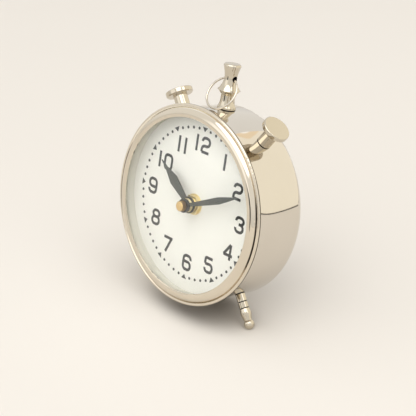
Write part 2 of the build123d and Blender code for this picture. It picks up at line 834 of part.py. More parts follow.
# Hour wheel and its pipe, which carries the hour hand
with BuildPart() as hour_wheel:
    with BuildSketch(at_depth(hour_layer + motion_wheel_thickness)):
        with BuildLine():
            Polyline(
                *gear_points(hour_wheel_teeth, motion_module, hour_wheel_start, clock_centre),
                close=True,
            )
        make_face()
    extrude(amount=motion_wheel_thickness)
    with BuildSketch(at_depth(hour_layer)):
        Circle(hour_pipe_radius)
    extrude(amount=hour_layer + hour_pipe_reach)
    with BuildSketch(at_depth(hour_layer + motion_wheel_thickness)):
        Circle(hour_pipe_bore)
    extrude(amount=hour_layer + motion_wheel_thickness + hour_pipe_reach, mode=Mode.SUBTRACT)
save(hour_wheel, "hour_wheel")

# Minute arbor: pin through the hour pipe, cannon pinion, and the thin end that runs in the cover
with BuildPart() as minute_arbor:
    cannon_front = minute_layer - slide_gap
    cannon_back = minute_layer + motion_wheel_thickness + slide_gap
    with BuildSketch(at_depth(cannon_back)):
        with BuildLine():
            Polyline(*gear_points(cannon_teeth, motion_module, 0, clock_centre), close=True)
        make_face()
    extrude(amount=cannon_back - cannon_front)
    with BuildSketch(at_depth(cannon_front)):
        Circle(minute_pin_radius)
    extrude(amount=cannon_front + minute_hub_height)
    with BuildSketch(dial_face.offset(minute_hub_height)):
        Circle(hand_screw_radius)
    extrude(amount=hand_screw_length)
    with BuildSketch(at_depth(arbor_end)):
        Circle(centre_arbor_radius)
    extrude(amount=arbor_end - cannon_back)
save(minute_arbor, "minute_arbor")

# Minute wheel with its pinion, on the arbor that the setting knob turns
with BuildPart() as minute_wheel:
    with BuildSketch(at_depth(minute_layer + motion_wheel_thickness)):
        with BuildLine():
            Polyline(
                *gear_points(minute_wheel_teeth, motion_module, minute_wheel_start, minute_wheel_centre),
                close=True,
            )
        make_face()
    extrude(amount=motion_wheel_thickness)
    with BuildSketch(at_depth(minute_layer)):
        with BuildLine():
            Polyline(
                *gear_points(minute_pinion_teeth, motion_module, minute_wheel_start, minute_wheel_centre),
                close=True,
            )
        make_face()
    extrude(amount=minute_layer - hour_layer)
    with BuildSketch(at_depth(movement_back + knob_height)):
        with Locations(minute_wheel_centre):
            Circle(setting_arbor_radius)
    extrude(amount=movement_back + knob_height - arbor_start)
save(minute_wheel, "minute_wheel")

# Setting knob on the back, with a fluted rim
with BuildPart() as setting_knob:
    knob_back = movement_back + slide_gap + knob_height
    knob_plane = at_depth(knob_back)
    with BuildSketch(Plane(knob_plane.from_local_coords(minute_wheel_centre), rightward, forward)):
        Circle(knob_radius)
        with PolarLocations(knob_radius, knob_flutes):
            Circle(knob_flute_radius, mode=Mode.SUBTRACT)
        Circle(setting_arbor_radius + seat_gap, mode=Mode.SUBTRACT)
    extrude(amount=knob_height)
save(setting_knob, "setting_knob")

# Centre wheel, a friction fit round the minute arbor so that the hands can be set
with BuildPart() as centre_wheel:
    hub_front = centre_layer - layer_gap
    hub_back = centre_layer + train_wheel_thickness + slide_gap
    with BuildSketch(at_depth(centre_layer + train_wheel_thickness)):
        with BuildLine():
            Polyline(*gear_points(centre_wheel_teeth, train_module, 0, clock_centre), close=True)
        make_face()
    extrude(amount=train_wheel_thickness)
    with BuildSketch(at_depth(hub_back)):
        Circle(centre_hub_radius)
    extrude(amount=hub_back - hub_front)
    with BuildSketch(at_depth(hub_back)):
        Circle(centre_arbor_radius + running_gap)
    extrude(amount=hub_back - hub_front, mode=Mode.SUBTRACT)
save(centre_wheel, "centre_wheel")


def train_wheel(centre, start, wheel_teeth, wheel_layer, pinion_teeth, pinion_layer):
    """Moulded wheel of the going train: wheel, pinion one layer in front of it, and arbor."""
    with BuildPart() as wheel:
        with BuildSketch(at_depth(wheel_layer + train_wheel_thickness)):
            with BuildLine():
                Polyline(*gear_points(wheel_teeth, train_module, start, centre), close=True)
            make_face()
        extrude(amount=train_wheel_thickness)
        with BuildSketch(at_depth(wheel_layer)):
            with BuildLine():
                Polyline(*gear_points(pinion_teeth, train_module, start, centre), close=True)
            make_face()
        extrude(amount=wheel_layer - pinion_layer)
        with BuildSketch(at_depth(arbor_end)):
            with Locations(centre):
                Circle(arbor_radius)
        extrude(amount=arbor_end - arbor_start)
    return wheel


third_wheel = train_wheel(
    third_centre, third_start, third_wheel_teeth, third_layer, train_pinion_teeth, centre_layer
)
save(third_wheel, "third_wheel")

fourth_wheel = train_wheel(
    fourth_centre, fourth_start, fourth_wheel_teeth, fourth_layer, train_pinion_teeth, third_layer
)
save(fourth_wheel, "fourth_wheel")

intermediate_wheel = train_wheel(
    intermediate_centre,
    intermediate_start,
    intermediate_wheel_teeth,
    intermediate_layer,
    intermediate_pinion_teeth,
    fourth_layer,
)
save(intermediate_wheel, "intermediate_wheel")

# Rotor: magnet, pinion and arbor of the stepping motor
with BuildPart() as rotor:
    with BuildSketch(at_depth(rotor_layer + rotor_height)):
        with Locations(rotor_centre):
            Circle(rotor_radius)
    extrude(amount=rotor_height)
    with BuildSketch(at_depth(rotor_layer)):
        with BuildLine():
            Polyline(*gear_points(train_pinion_teeth, train_module, rotor_start, rotor_centre), close=True)
        make_face()
    extrude(amount=rotor_layer - intermediate_layer)
    with BuildSketch(at_depth(arbor_end)):
        with Locations(rotor_centre):
            Circle(arbor_radius)
    extrude(amount=arbor_end - arbor_start)
save(rotor, "rotor")

# Stator: a flat iron loop round the rotor, whose lower bar is the coil's core
with BuildPart() as stator:
    bar_length = rotor_centre[0] - stator_left
    bar_middle = (rotor_centre[0] + stator_left) / 2
    top_middle = stator_top - stator_bar_width / 2
    side_height = top_middle - core_middle
    with BuildSketch(at_depth(stator_back)):
        with Locations((bar_middle, core_middle), (bar_middle, top_middle)):
            Rectangle(bar_length, stator_bar_width)
        with Locations((stator_left + stator_bar_width / 2, core_middle + side_height / 2)):
            Rectangle(stator_bar_width, side_height)
        with Locations(rotor_centre):
            Circle(stator_ring_outer)
            Circle(rotor_radius + stator_air_gap, mode=Mode.SUBTRACT)
    extrude(amount=stator_thickness)
save(stator, "stator")

# Coil wound round the stator's core
with BuildPart() as coil:
    coil_place = at_depth(stator_front + stator_thickness / 2).from_local_coords((coil_left, core_middle))
    with BuildSketch(Plane(coil_place, x_dir=forward, z_dir=rightward)):
        Circle(coil_radius)
        Rectangle(stator_thickness + 2 * seat_gap, stator_bar_width + 2 * seat_gap, mode=Mode.SUBTRACT)
    extrude(amount=coil_length)
save(coil, "coil")

# Circuit board on its bosses, with the chip and the quartz crystal on its front
board_front = board_back - board_thickness
board_middle = (board_left + board_width / 2, board_bottom + board_height / 2)
with BuildPart() as circuit_board:
    with BuildSketch(at_depth(board_back)):
        with Locations(board_middle):
            Rectangle(board_width, board_height)
    extrude(amount=board_thickness)
save(circuit_board, "circuit_board")

with BuildPart() as clock_chip:
    with BuildSketch(at_depth(board_front)):
        with Locations(board_middle):
            Rectangle(2 * chip_half, 2 * chip_half)
    extrude(amount=chip_height)
    chamfer(clock_chip.faces().sort_by(clock_axis)[-1].edges(), chip_chamfer)
save(clock_chip, "clock_chip")

with BuildPart() as quartz_crystal:
    crystal_place = at_depth(board_front - crystal_radius).from_local_coords(
        (board_middle[0] - crystal_length / 2, board_middle[1] + crystal_above_chip)
    )
    with BuildSketch(Plane(crystal_place, x_dir=forward, z_dir=rightward)):
        Circle(crystal_radius)
    extrude(amount=crystal_length)
save(quartz_crystal, "quartz_crystal")

# Battery in its pocket, with the nub to the right
battery_depth = floor_depth + slide_gap + battery_radius
with BuildPart() as battery:
    battery_end = at_depth(battery_depth).from_local_coords((-battery_length / 2, pocket_middle[1]))
    with BuildSketch(Plane(battery_end, x_dir=forward, z_dir=rightward)):
        Circle(battery_radius)
    extrude(amount=battery_body_length)
    fillet(battery.edges().filter_by(GeomType.CIRCLE), battery_edge_round)
    with BuildSketch(Plane(battery_end + rightward * battery_body_length, x_dir=forward, z_dir=rightward)):
        Circle(battery_nub_radius)
    extrude(amount=battery_nub_length)
save(battery, "battery")

# Contacts at the ends of the battery, each a plate with a raised dimple
for contact_name, side in (("positive_contact", 1), ("negative_contact", -1)):
    with BuildPart() as contact:
        wall_point = at_depth(battery_depth).from_local_coords((side * inner_half, pocket_middle[1]))
        with BuildSketch(Plane(wall_point, x_dir=forward, z_dir=-side * rightward)):
            Rectangle(2 * contact_half_width, 2 * contact_half_width)
        extrude(amount=contact_thickness)
        with BuildSketch(Plane(wall_point, x_dir=forward, z_dir=-side * rightward)):
            Circle(contact_bump_radius)
        extrude(amount=contact_reach)
    save(contact, contact_name)


def hand_plane(height, angle):
    """Plane of a hand whose local Y points along it."""
    return Plane(origin=dial_centre + forward * height, x_dir=outward(angle + 90), z_dir=forward)


# Hour hand: lozenge blade with a slim tip, on a round hub
minute_hand_angle = 6 * clock_minutes
hour_hand_angle = 30 * clock_hours + minute_hand_angle / 12
with BuildPart() as hour_hand:
    with BuildSketch(hand_plane(hour_hub_height + hand_blade_step, hour_hand_angle)):
        with BuildLine():
            Polyline(
                (0, 0),
                (hour_hand_neck, 0),
                (hour_hand_half_width, hour_hand_widest),
                (hour_hand_shoulder, hour_hand_shoulder_at),
                (hand_tip_half_width, hour_hand_length),
                (0, hour_hand_length),
                close=True,
            )
        make_face()
        mirror(about=Plane.YZ)
    extrude(amount=hand_thickness)
    with BuildSketch(dial_face.offset(hour_hub_height)):
        Circle(hour_hub_radius)
    extrude(amount=hour_hub_thickness)
    with BuildSketch(dial_face.offset(hour_hub_height)):
        Circle(hour_pipe_radius + seat_gap)
    extrude(amount=hour_hub_thickness, mode=Mode.SUBTRACT)
save(hour_hand, "hour_hand")

# Minute hand: slim leaf blade on a round hub
with BuildPart() as minute_hand:
    taper_middle = (minute_hand_widest + minute_hand_length) / 2
    with BuildSketch(hand_plane(minute_hub_height + hand_blade_step, minute_hand_angle)):
        with BuildLine():
            Polyline(
                (0, minute_hand_length),
                (0, 0),
                (minute_hand_neck, 0),
                (minute_hand_half_width, minute_hand_widest),
            )
            ThreePointArc(
                (minute_hand_half_width, minute_hand_widest),
                (minute_hand_taper_half_width, taper_middle),
                (hand_tip_half_width, minute_hand_length),
            )
            Line((hand_tip_half_width, minute_hand_length), (0, minute_hand_length))
        make_face()
        mirror(about=Plane.YZ)
    extrude(amount=hand_thickness)
    with BuildSketch(dial_face.offset(minute_hub_height)):
        Circle(minute_hub_radius)
    extrude(amount=minute_hub_thickness)
    with BuildSketch(dial_face.offset(minute_hub_height)):
        Circle(hand_screw_radius + seat_gap)
    extrude(amount=minute_hub_thickness, mode=Mode.SUBTRACT)
save(minute_hand, "minute_hand")

# Cap nut that holds the minute hand
with BuildPart() as hand_cap_nut:
    cap_seat = minute_hub_height + minute_hub_thickness
    with BuildSketch(dial_face.offset(cap_seat)):
        Circle(hand_nut_radius)
    extrude(amount=hand_nut_thickness)
    fillet(hand_cap_nut.edges().filter_by(GeomType.CIRCLE).sort_by(clock_axis)[-1], hand_nut_round)
    with BuildSketch(dial_face.offset(cap_seat)):
        Circle(hand_screw_radius + seat_gap)
    extrude(amount=hand_screw_length - minute_hub_thickness + seat_gap, mode=Mode.SUBTRACT)
save(hand_cap_nut, "hand_cap_nut")
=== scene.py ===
import json
from math import asin, copysign, cos, pi, radians, sin, tan

import bmesh
import bpy
from bmesh.types import BMEdge, BMVert
from mathutils import Matrix, Vector


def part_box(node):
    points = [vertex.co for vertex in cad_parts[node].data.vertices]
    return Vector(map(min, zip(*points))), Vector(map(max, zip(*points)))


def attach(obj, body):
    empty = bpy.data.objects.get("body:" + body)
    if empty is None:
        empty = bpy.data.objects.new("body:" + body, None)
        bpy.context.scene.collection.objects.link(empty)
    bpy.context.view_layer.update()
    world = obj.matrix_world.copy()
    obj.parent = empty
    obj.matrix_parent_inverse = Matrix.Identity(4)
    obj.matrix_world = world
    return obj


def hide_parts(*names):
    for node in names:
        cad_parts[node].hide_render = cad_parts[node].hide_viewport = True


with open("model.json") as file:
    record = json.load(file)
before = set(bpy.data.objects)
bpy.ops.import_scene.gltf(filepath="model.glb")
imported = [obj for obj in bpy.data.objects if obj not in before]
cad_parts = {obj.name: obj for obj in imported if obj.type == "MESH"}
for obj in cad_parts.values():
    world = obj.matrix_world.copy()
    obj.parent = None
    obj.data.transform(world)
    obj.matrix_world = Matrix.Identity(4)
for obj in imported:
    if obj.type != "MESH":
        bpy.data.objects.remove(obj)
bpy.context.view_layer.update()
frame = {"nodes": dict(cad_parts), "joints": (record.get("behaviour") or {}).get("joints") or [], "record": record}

# A polished table clock that leans back on turned legs. Everything is in metres, and sizes that are
# easier to read in millimetres are written so and multiplied by MM.
MM = 0.001

# The clock's own directions, from the axle of its hands
joints = {joint["name"]: joint for joint in frame["joints"]}
dial_centre = Vector(joints["minute_turn"]["pos_m"])
forward = -Vector(joints["minute_turn"]["axis"])
rightward = Vector((1, 0, 0))


def place(origin, x_dir, z_dir):
    """Matrix that carries a piece drawn about the origin to its place on the clock."""
    y_dir = z_dir.cross(x_dir)
    facing = Matrix((x_dir, y_dir, z_dir)).transposed().to_4x4()
    return Matrix.Translation(origin) @ facing


dial_place = place(dial_centre, rightward, forward)


def node_span(node, direction):
    """Lowest and highest reach of a node along a direction, from the dial's centre."""
    vertices = frame["nodes"][node].data.vertices
    reaches = [(vertex.co - dial_centre).dot(direction) for vertex in vertices]
    return min(reaches), max(reaches)


# Sizes of the drum, the post's cross hole, the hands' hubs and the cap nut
drum_radius = node_span("case_drum", rightward)[1]
drum_back, drum_front = node_span("case_drum", forward)
hole_centre = Vector(joints["ring_swing"]["pos_m"])
hole_radius = 1.6 * MM
hub_radius = 4.4 * MM
cap_back, cap_front = node_span("hand_cap_nut", forward)
cap_radius = node_span("hand_cap_nut", rightward)[1]
cap_edge = 0.3 * MM


class Shade:
    """A socket of a material. Sums on it add Math nodes, and node() adds any other kind."""

    def __init__(self, socket):
        self.socket = socket

    def node(self, kind, settings=None, sockets=None, output=0):
        made = self.socket.id_data.nodes.new(kind)
        for name, value in (settings or {}).items():
            setattr(made, name, value)
        for key, value in (sockets or {}).items():
            plug(find_socket(made.inputs, key), value)
        return Shade(find_socket(made.outputs, output))

    def maths(self, operation, *values):
        return self.node("ShaderNodeMath", {"operation": operation}, dict(enumerate(values)))

    def __add__(self, other):
        return self.maths("ADD", self, other)

    __radd__ = __add__

    def __sub__(self, other):
        return self.maths("SUBTRACT", self, other)

    def __rsub__(self, other):
        return self.maths("SUBTRACT", other, self)

    def __mul__(self, other):
        return self.maths("MULTIPLY", self, other)

    __rmul__ = __mul__

    def __truediv__(self, other):
        return self.maths("DIVIDE", self, other)

    def __pow__(self, other):
        return self.maths("POWER", self, other)


def find_socket(sockets, key):
    if isinstance(key, int):
        return sockets[key]
    return next(socket for socket in sockets if key in (socket.identifier, socket.name))


def plug(socket, value):
    if isinstance(value, Shade):
        socket.id_data.links.new(value.socket, socket)
    else:
        socket.default_value = value


def rgba(colour):
    return (*colour, 1.0)


def noise(where, scale, detail):
    """Soft cloudy pattern from 0 to 1, finer as the scale goes up."""
    sockets = {"Vector": where, "Scale": scale, "Detail": detail}
    return where.node("ShaderNodeTexNoise", sockets=sockets)


def stretched(where, scale):
    """The same place with each axis stretched, so that a pattern runs along one of them."""
    return where.node("ShaderNodeMapping", sockets={"Vector": where, "Scale": scale})


def measured_from(where, point):
    return where.node("ShaderNodeVectorMath", {"operation": "SUBTRACT"}, {0: where, 1: point})


def on_the_clock(where):
    """Place measured from the dial's centre, with Y up the dial and Z out of it."""
    upright = dial_place.inverted().to_euler()
    off = measured_from(where, dial_centre)
    return off.node("ShaderNodeMapping", sockets={"Vector": off, "Rotation": upright})


def parts_of(where):
    """The X, Y and Z of a place or a direction."""
    axes = where.node("ShaderNodeSeparateXYZ", sockets={"Vector": where}, output="X")
    outputs = axes.socket.node.outputs
    return [Shade(outputs[name]) for name in ("X", "Y", "Z")]


def length_of(across, along):
    return (across * across + along * along) ** 0.5


def blend(share, first, second):
    """Colour that goes from the first to the second as the share goes from 0 to 1."""
    settings = {"data_type": "RGBA"}
    first = first if isinstance(first, Shade) else rgba(first)
    second = second if isinstance(second, Shade) else rgba(second)
    sockets = {"Factor_Float": share, "A_Color": first, "B_Color": second}
    return share.node("ShaderNodeMix", settings, sockets, "Result_Color")


def step(value, low, high):
    """0 below the low value, 1 above the high one, and smooth between them."""
    sockets = {"Value": value, "From Min": low, "From Max": high}
    return value.node("ShaderNodeMapRange", {"interpolation_type": "SMOOTHSTEP"}, sockets)


def bump(height, strength, distance, under=None):
    """Normal of a surface that rises by a height, on top of another bump where one lies under it."""
    sockets = {"Height": height, "Strength": strength, "Distance": distance}
    if under:
        sockets["Normal"] = under
    return height.node("ShaderNodeBump", sockets=sockets)


def new_material(name):
    """A material with its main shader, and the place on the piece that its patterns read."""
    material = bpy.data.materials.new(name)
    material.use_nodes = True
    tree = material.node_tree
    shader = tree.nodes["Principled BSDF"]
    where = Shade(tree.nodes.new("ShaderNodeTexCoord").outputs["Object"])
    return material, shader, where


def dress(shader, sockets):
    for key, value in sockets.items():
        plug(find_socket(shader.inputs, key), value)


groove_highlight_tone = (0.98, 0.95, 0.88)
seam_shade_tone = (0.025, 0.021, 0.017)


def bright_nickel(name, light, dark, seam_shade=None, shine=None, satin=0.0, form=None):
    """Warm plated nickel with a faint haze and hairline marks.

    A piece may add painted shade in its seams, a painted highlight, a satin finish, or a form, which is
    a height in metres over its own surface.
    """
    material, shader, where = new_material(name)
    under = bump(form(where), 1.0, 1.0) if form else None
    haze = noise(where, 38.0, 3.0)
    wipes = noise(stretched(where, (260.0, 1900.0, 420.0)), 1.0, 2.0)
    colour = blend(haze, light, dark)
    roughness = 0.02 + satin + haze * 0.04 + wipes * 0.015
    # Painted highlight: the colour lightens towards the groove highlight tone
    if shine:
        colour = blend(shine(where), colour, groove_highlight_tone)
    # Painted shade in the seams: the colour darkens towards the seam shade tone, and the roughness rises
    if seam_shade:
        depth = seam_shade(where)
        colour = blend(depth, colour, seam_shade_tone)
        roughness = roughness + depth * 0.35
    dress(
        shader,
        {
            "Base Color": colour,
            "Metallic": 1.0,
            "Roughness": roughness,
            "Normal": bump(wipes, 0.03, 0.02 * MM, under),
        },
    )
    return material


# The drum's wall draws in a little to its back and flares a little to the bezel, which bends what it mirrors
round_reach = 30.0 * MM
round_slope = 0.14
flare_reach = 12.0 * MM
flare_slope = 0.08


def drum_form(where):
    """Height of the drum's wall over a straight one."""
    out = parts_of(on_the_clock(where))[2]
    near_back = out.maths("MAXIMUM", drum_back + round_reach - out, 0.0) / round_reach
    near_front = out.maths("MAXIMUM", out - (drum_front - flare_reach), 0.0) / flare_reach
    flare = near_front**3.0 * (flare_slope * flare_reach / 3)
    return flare - near_back**3.0 * (round_slope * round_reach / 3)


# Painted shade darkens where a fitting meets the drum, the bezel's rim, the grooves and the post's hole.
# A leg's grooves are given by how far they stand off the drum, and the bezel's by its radius.
foot_shade_width = 0.35 * MM
rim_reach = 1.0 * MM
rim_chamfer = 0.3 * MM
bezel_groove = 51.05 * MM
bezel_groove_half = 0.5 * MM
groove_places = (4.5 * MM, 8.0 * MM)
groove_half = 0.3 * MM


def radius_on_drum(where):
    """Distance from the axle of the hands."""
    across, along, _ = parts_of(on_the_clock(where))
    return length_of(across, along)


def soil_at_foot(where):
    """A painted shade line where a fitting stands on the drum."""
    above = radius_on_drum(where) - drum_radius
    return 1 - step(above, foot_shade_width * 0.7, foot_shade_width * 1.3)


def soil_in_grooves(where):
    """Painted shade at a leg's foot on the drum, and in the grooves that are turned in it."""
    seam_shade = soil_at_foot(where)
    above = radius_on_drum(where) - drum_radius
    for groove in groove_places:
        off = above.maths("ABSOLUTE", above - groove)
        seam_shade = seam_shade.maths("MAXIMUM", seam_shade, 1 - step(off, groove_half * 0.7, groove_half * 1.1))
    return seam_shade


def soil_in_hole(where):
    """Painted shade: a dark line at the post's foot, and a dark wall in its cross hole."""
    _, along, height = parts_of(measured_from(where, hole_centre))
    wall = 1 - step(length_of(along, height), hole_radius, hole_radius * 1.03)
    return wall.maths("MAXIMUM", wall, soil_at_foot(where))


def on_the_bezel(where):
    """Share of the way to the right and up, height over the dial, and distance from the bezel's groove."""
    across, along, out = parts_of(on_the_clock(where))
    radius = length_of(across, along)
    off = radius.maths("ABSOLUTE", radius - bezel_groove)
    return across / radius, along / radius, out, off


def soil_on_rim(where):
    """Patchy painted shade on the outer edge of the bezel's rim, and in its groove at either side."""
    rightness, _, out, off = on_the_bezel(where)
    patchy = step(noise(where, 34.0, 1.0), 0.3, 0.62)
    edge = step(out, drum_front + rim_chamfer * 0.6, drum_front + rim_chamfer)
    edge = edge * (1 - step(out, drum_front + rim_reach * 0.75, drum_front + rim_reach))
    groove = 1 - step(off, bezel_groove_half * 0.6, bezel_groove_half)
    groove = groove * step(out, drum_front, drum_front + rim_reach)
    at_sides = step(rightness.maths("ABSOLUTE", rightness), 0.91, 0.97)
    return (0.55 + 0.4 * patchy) * edge + (0.55 + 0.35 * patchy) * groove * at_sides


def shine_in_groove(where):
    """Painted highlight in the bezel's groove, brightest at the upper left."""
    rightness, upness, out, off = on_the_bezel(where)
    groove = 1 - step(off, bezel_groove_half * 0.8, bezel_groove_half * 1.4)
    groove = groove * step(out, drum_front + rim_reach * 0.5, drum_front + rim_reach)
    return 0.8 * groove * step(upness, 0.2, 0.6) * (1 - step(rightness, -0.05, 0.4))


def turned_brass(name, light, dark):
    """Satin brass with the fine rings that a lathe leaves."""
    material, shader, where = new_material(name)
    reach = radius_on_drum(where)
    rings = reach.maths("SINE", reach * (2 * pi / (0.4 * MM)))
    tarnish = noise(where, 260.0, 4.0)
    dress(
        shader,
        {
            "Base Color": blend(tarnish, light, dark),
            "Metallic": 1.0,
            "Roughness": 0.3 + tarnish * 0.12,
            "Normal": bump(rings, 0.1, 0.03 * MM),
        },
    )
    return material


def cap_brass():
    """Brass of the cap nut, bright on its face, with painted shade that turns its ridged side brown."""
    material, shader, where = new_material("cap_brass")
    tarnish = noise(where, 300.0, 4.0)
    # Painted shade: the ridged side below the face is dark brown
    face = step(parts_of(on_the_clock(where))[2], cap_front - cap_edge, cap_front - cap_edge * 0.6)
    bright = blend(tarnish, (0.86, 0.63, 0.31), (0.74, 0.50, 0.22))
    dress(
        shader,
        {
            "Base Color": blend(face, (0.36, 0.23, 0.10), bright),
            "Metallic": 1.0,
            "Roughness": 0.3 + tarnish * 0.12,
        },
    )
    return material


def clear_glass():
    """Thin domed glass: clear from the front, with its own shine, and open to the lamps."""
    material, shader, where = new_material("clear_glass")
    wipes = noise(where, 90.0, 3.0)
    dress(
        shader,
        {
            "Base Color": rgba((0.97, 0.985, 0.975)),
            "Roughness": wipes * 0.025,
            "IOR": 1.45,
            "Transmission Weight": 1.0,
        },
    )
    tree = material.node_tree
    paths = tree.nodes.new("ShaderNodeLightPath")
    open_way = tree.nodes.new("ShaderNodeBsdfTransparent")
    chooser = tree.nodes.new("ShaderNodeMixShader")
    tree.links.new(paths.outputs["Is Shadow Ray"], chooser.inputs["Fac"])
    tree.links.new(shader.outputs["BSDF"], chooser.inputs[1])
    tree.links.new(open_way.outputs["BSDF"], chooser.inputs[2])
    tree.links.new(chooser.outputs["Shader"], tree.nodes["Material Output"].inputs["Surface"])
    return material


def dial_white():
    """Matt white lacquer with a very fine tooth."""
    material, shader, where = new_material("dial_white")
    cloud = noise(where, 30.0, 3.0)
    tooth = noise(where, 2600.0, 2.0)
    dress(
        shader,
        {
            "Base Color": blend(cloud, (0.96, 0.935, 0.885), (0.93, 0.905, 0.855)),
            "Roughness": 0.5 + tooth * 0.15,
            "Normal": bump(tooth, 0.05, 0.03 * MM),
        },
    )
    return material


def spacer_cream():
    """Satin pale ring between the dial and the glass."""
    material, shader, where = new_material("spacer_cream")
    cloud = noise(where, 60.0, 3.0)
    dress(
        shader,
        {
            "Base Color": blend(cloud, (0.66, 0.64, 0.56), (0.58, 0.56, 0.49)),
            "Roughness": 0.38 + cloud * 0.1,
        },
    )
    return material


def hand_grey():
    """Dark grey lacquer on the hands, satin, with a little orange peel, and blacker about the hubs."""
    material, shader, where = new_material("hand_grey")
    peel = noise(where, 900.0, 2.0)
    cloud = noise(where, 70.0, 2.0)
    near_hubs = 1 - step(radius_on_drum(where), hub_radius * 0.9, hub_radius * 1.05)
    lacquer = blend(cloud, (0.075, 0.08, 0.072), (0.055, 0.06, 0.053))
    dress(
        shader,
        {
            "Base Color": blend(near_hubs, lacquer, (0.014, 0.014, 0.013)),
            "Roughness": 0.36 + peel * 0.12,
            "Coat Weight": 0.15,
            "Normal": bump(peel, 0.08, 0.03 * MM),
        },
    )
    return material


def dial_ink():
    """Screen-printed black, a little thin in places."""
    material, shader, where = new_material("dial_ink")
    thin = noise(where, 700.0, 3.0)
    dress(
        shader,
        {
            "Base Color": blend(thin, (0.012, 0.012, 0.012), (0.035, 0.035, 0.034)),
            "Roughness": 0.5 + thin * 0.15,
        },
    )
    return material


def moulded(name, light, dark, grain_scale, roughness):
    """Moulded plastic with the fine spark grain of its tool."""
    material, shader, where = new_material(name)
    grain = noise(where, grain_scale, 2.0)
    cloud = noise(where, 60.0, 2.0)
    dress(
        shader,
        {
            "Base Color": blend(cloud, light, dark),
            "Roughness": roughness + grain * 0.15,
            "Normal": bump(grain, 0.25, 0.04 * MM),
        },
    )
    return material


def plated_steel():
    """Zinc plated steel, with a faint crystalline mottle."""
    material, shader, where = new_material("plated_steel")
    mottle = noise(where, 420.0, 4.0)
    dress(
        shader,
        {
            "Base Color": blend(mottle, (0.68, 0.68, 0.66), (0.52, 0.52, 0.51)),
            "Metallic": 1.0,
            "Roughness": 0.24 + mottle * 0.16,
        },
    )
    return material


def sintered_magnet():
    """Dark pressed metal powder with a fine grain."""
    material, shader, where = new_material("sintered_magnet")
    grain = noise(where, 1500.0, 3.0)
    dress(
        shader,
        {
            "Base Color": blend(grain, (0.11, 0.11, 0.115), (0.07, 0.07, 0.075)),
            "Metallic": 0.6,
            "Roughness": 0.45 + grain * 0.2,
            "Normal": bump(grain, 0.2, 0.03 * MM),
        },
    )
    return material


def copper_winding():
    """Fine enamelled wire, wound side by side along the coil."""
    material, shader, where = new_material("copper_winding")
    across, _, _ = parts_of(where)
    turns = across.maths("SINE", across * (2 * pi / (0.16 * MM)))
    shade = noise(where, 500.0, 2.0)
    dress(
        shader,
        {
            "Base Color": blend(shade, (0.62, 0.24, 0.09), (0.45, 0.15, 0.05)),
            "Metallic": 0.9,
            "Roughness": 0.28 + shade * 0.1,
            "Normal": bump(turns, 0.4, 0.05 * MM),
        },
    )
    return material


def circuit_green():
    """Green solder mask over faint copper tracks."""
    material, shader, where = new_material("circuit_green")
    across, _, height = parts_of(where)
    waves = across.maths("SINE", across * 4200.0) * height.maths("SINE", height * 2600.0)
    tracks = step(waves, 0.25, 0.4)
    dress(
        shader,
        {
            "Base Color": blend(tracks, (0.03, 0.16, 0.07), (0.07, 0.24, 0.10)),
            "Roughness": 0.35,
            "Normal": bump(tracks, 0.2, 0.03 * MM),
        },
    )
    return material


def battery_jacket():
    """Plain printed jacket: a dark body with a copper-coloured band at the nub's end."""
    material, shader, where = new_material("battery_jacket")
    across, _, _ = parts_of(where)
    low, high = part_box("battery")
    length = high.x - low.x
    band = step(across, high.x - 0.30 * length, high.x - 0.295 * length)
    metal = step(across, high.x - 1.55 * MM, high.x - 1.45 * MM)
    scuff = noise(stretched(where, (300.0, 1400.0, 1400.0)), 1.0, 3.0)
    jacket = blend(band, (0.018, 0.02, 0.022), (0.70, 0.34, 0.12))
    dress(
        shader,
        {
            "Base Color": blend(metal, jacket, (0.66, 0.66, 0.64)),
            "Metallic": 0.25 + 0.75 * metal,
            "Roughness": 0.25 + scuff * 0.15,
            "Coat Weight": 0.3,
        },
    )
    return material


nickel_tones = (0.70, 0.655, 0.585), (0.655, 0.605, 0.53)
warm_tones = (0.735, 0.67, 0.565), (0.69, 0.62, 0.51)
fitting_tones = (0.635, 0.58, 0.48), (0.56, 0.50, 0.40)
ring_tones = (0.68, 0.63, 0.55), (0.60, 0.55, 0.47)
finishes = {
    "polished_nickel": bright_nickel("polished_nickel", *nickel_tones),
    "brass": turned_brass("pale_brass", (0.90, 0.78, 0.50), (0.80, 0.66, 0.36)),
    "clear_glass": clear_glass(),
    "dial_white": dial_white(),
    "spacer_cream": spacer_cream(),
    "hand_grey": hand_grey(),
    "movement_black": moulded("movement_black", (0.034, 0.034, 0.036), (0.024, 0.024, 0.026), 1800.0, 0.38),
    "wheel_white": moulded("wheel_white", (0.80, 0.79, 0.74), (0.72, 0.71, 0.66), 1500.0, 0.38),
    "rubber_black": moulded("rubber_black", (0.028, 0.028, 0.028), (0.02, 0.02, 0.02), 2200.0, 0.68),
    "steel": plated_steel(),
    "magnet": sintered_magnet(),
    "copper_wire": copper_winding(),
    "board_green": circuit_green(),
    "battery_jacket": battery_jacket(),
}
